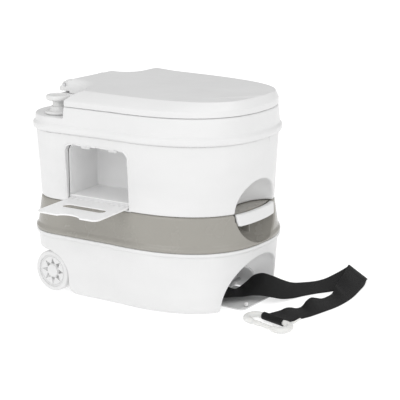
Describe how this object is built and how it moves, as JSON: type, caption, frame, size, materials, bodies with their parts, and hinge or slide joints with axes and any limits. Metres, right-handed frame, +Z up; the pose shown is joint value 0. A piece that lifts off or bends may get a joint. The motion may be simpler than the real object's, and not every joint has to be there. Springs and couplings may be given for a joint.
{
  "type": "portable camp toilet",
  "caption": "Portable flush toilet in two stacked tanks with a slide valve, hinged seat and lid, piston pump, paper compartment, wheels, pour-out spout and a webbing towing strap with a hook.",
  "frame": {"origin": "on the ground under the middle of the body, in the flat bottom of the waste tank", "axes": "+Z up, -Y to the front with the valve handle and the strap, +X to the user's left when seated, away from the paper compartment"},
  "size_m": [0.5115, 0.5613, 0.394],
  "materials": {
    "white_shell": "moulded white plastic with a soft sheen",
    "taupe_shell": "moulded warm grey plastic with a soft sheen",
    "hook_plastic": "undyed cloudy plastic",
    "rubber": "matt black rubber",
    "steel": "plain drawn rod",
    "webbing": "woven black polypropylene"
  },
  "bodies": {
    "waste_tank": {"waste_tank_base": "white_shell", "waste_tank_top": "taupe_shell", "strap_tray": "white_shell", "strap_peg": "white_shell", "strap_anchor_bar": "steel", "towing_strap": "webbing", "strap_loop": "webbing", "hook_ring": "hook_plastic", "hook_gate": "hook_plastic", "axle": "steel", "axle_bracket_left": "white_shell", "axle_bracket_right": "white_shell", "valve_lower_seal": "rubber", "valve_housing": "white_shell", "valve_guide_cover": "taupe_shell", "latch_pin": "steel"},
    "left_wheel": {"wheel_left": "white_shell"},
    "right_wheel": {"wheel_right": "white_shell"},
    "valve_slide": {"valve_blade": "white_shell", "valve_handle": "white_shell"},
    "spout": {"pour_spout": "white_shell"},
    "spout_cap": {"spout_cap": "taupe_shell"},
    "vent": {"vent_button": "white_shell"},
    "latch": {"latch_lever": "white_shell"},
    "flush_tank": {"flush_tank_shell": "white_shell", "flush_tank_deck": "white_shell", "bowl": "white_shell", "paper_compartment": "white_shell", "door_hinge_pin": "steel", "pump_collar": "white_shell", "pump_barrel": "white_shell", "filler_neck": "white_shell", "hinge_pin_left": "steel", "hinge_pin_right": "steel", "valve_upper_seal": "rubber"},
    "door": {"paper_door": "white_shell"},
    "plunger": {"pump_plunger": "white_shell"},
    "filler_cap": {"filler_cap": "white_shell"},
    "seat": {"seat": "white_shell", "seat_bumper_front_left": "rubber", "seat_bumper_front_right": "rubber", "seat_bumper_rear_left": "rubber", "seat_bumper_rear_right": "rubber"},
    "lid": {"lid": "white_shell"}
  },
  "joints": [
    {"name": "left_wheel_spin", "type": "hinge", "parent": "waste_tank", "child": "left_wheel", "pos_m": [-0.151, 0.156, 0.04], "axis": [1, 0, 0], "continuous": true},
    {"name": "right_wheel_spin", "type": "hinge", "parent": "waste_tank", "child": "right_wheel", "pos_m": [0.151, 0.156, 0.04], "axis": [1, 0, 0], "continuous": true},
    {"name": "valve_pull", "type": "slide", "parent": "waste_tank", "child": "valve_slide", "axis": [0, -1, 0], "range_m": [0, 0.1]},
    {"name": "spout_swing", "type": "hinge", "parent": "waste_tank", "child": "spout", "pos_m": [0.104, 0.186, 0.1575], "axis": [0, 0, -1], "range_deg": [0, 90]},
    {"name": "spout_cap_turn", "type": "hinge", "parent": "spout", "child": "spout_cap", "pos_m": [0.027, 0.186, 0.1575], "axis": [-1, 0, 0], "range_deg": [0, 360]},
    {"name": "vent_press", "type": "slide", "parent": "waste_tank", "child": "vent", "axis": [0, -1, 0], "range_m": [0, 0.003], "stiffness_N_per_m": 500},
    {"name": "latch_turn", "type": "hinge", "parent": "waste_tank", "child": "latch", "pos_m": [-0.043, 0.2066, 0.149], "axis": [-1, 0, 0], "range_deg": [0, 60]},
    {"name": "flush_tank_lift", "type": "slide", "parent": "waste_tank", "child": "flush_tank", "axis": [0, 0, 1], "range_m": [0, 0.12]},
    {"name": "door_turn", "type": "hinge", "parent": "flush_tank", "child": "door", "pos_m": [-0.16182, 0.03917, 0.1922], "axis": [-0.0773, 0.997, 0], "range_deg": [0, 89]},
    {"name": "pump_pull", "type": "slide", "parent": "flush_tank", "child": "plunger", "axis": [0, 0, 1], "range_m": [0, 0.045]},
    {"name": "filler_cap_lift", "type": "slide", "parent": "flush_tank", "child": "filler_cap", "axis": [0, 0, 1], "range_m": [0, 0.03]},
    {"name": "seat_hinge", "type": "hinge", "parent": "flush_tank", "child": "seat", "pos_m": [0, 0.202, 0.383], "axis": [-1, 0, 0], "range_deg": [0, 95]},
    {"name": "lid_hinge", "type": "hinge", "parent": "seat", "child": "lid", "pos_m": [0, 0.202, 0.383], "axis": [-1, 0, 0], "range_deg": [0, 95]}
  ]
}
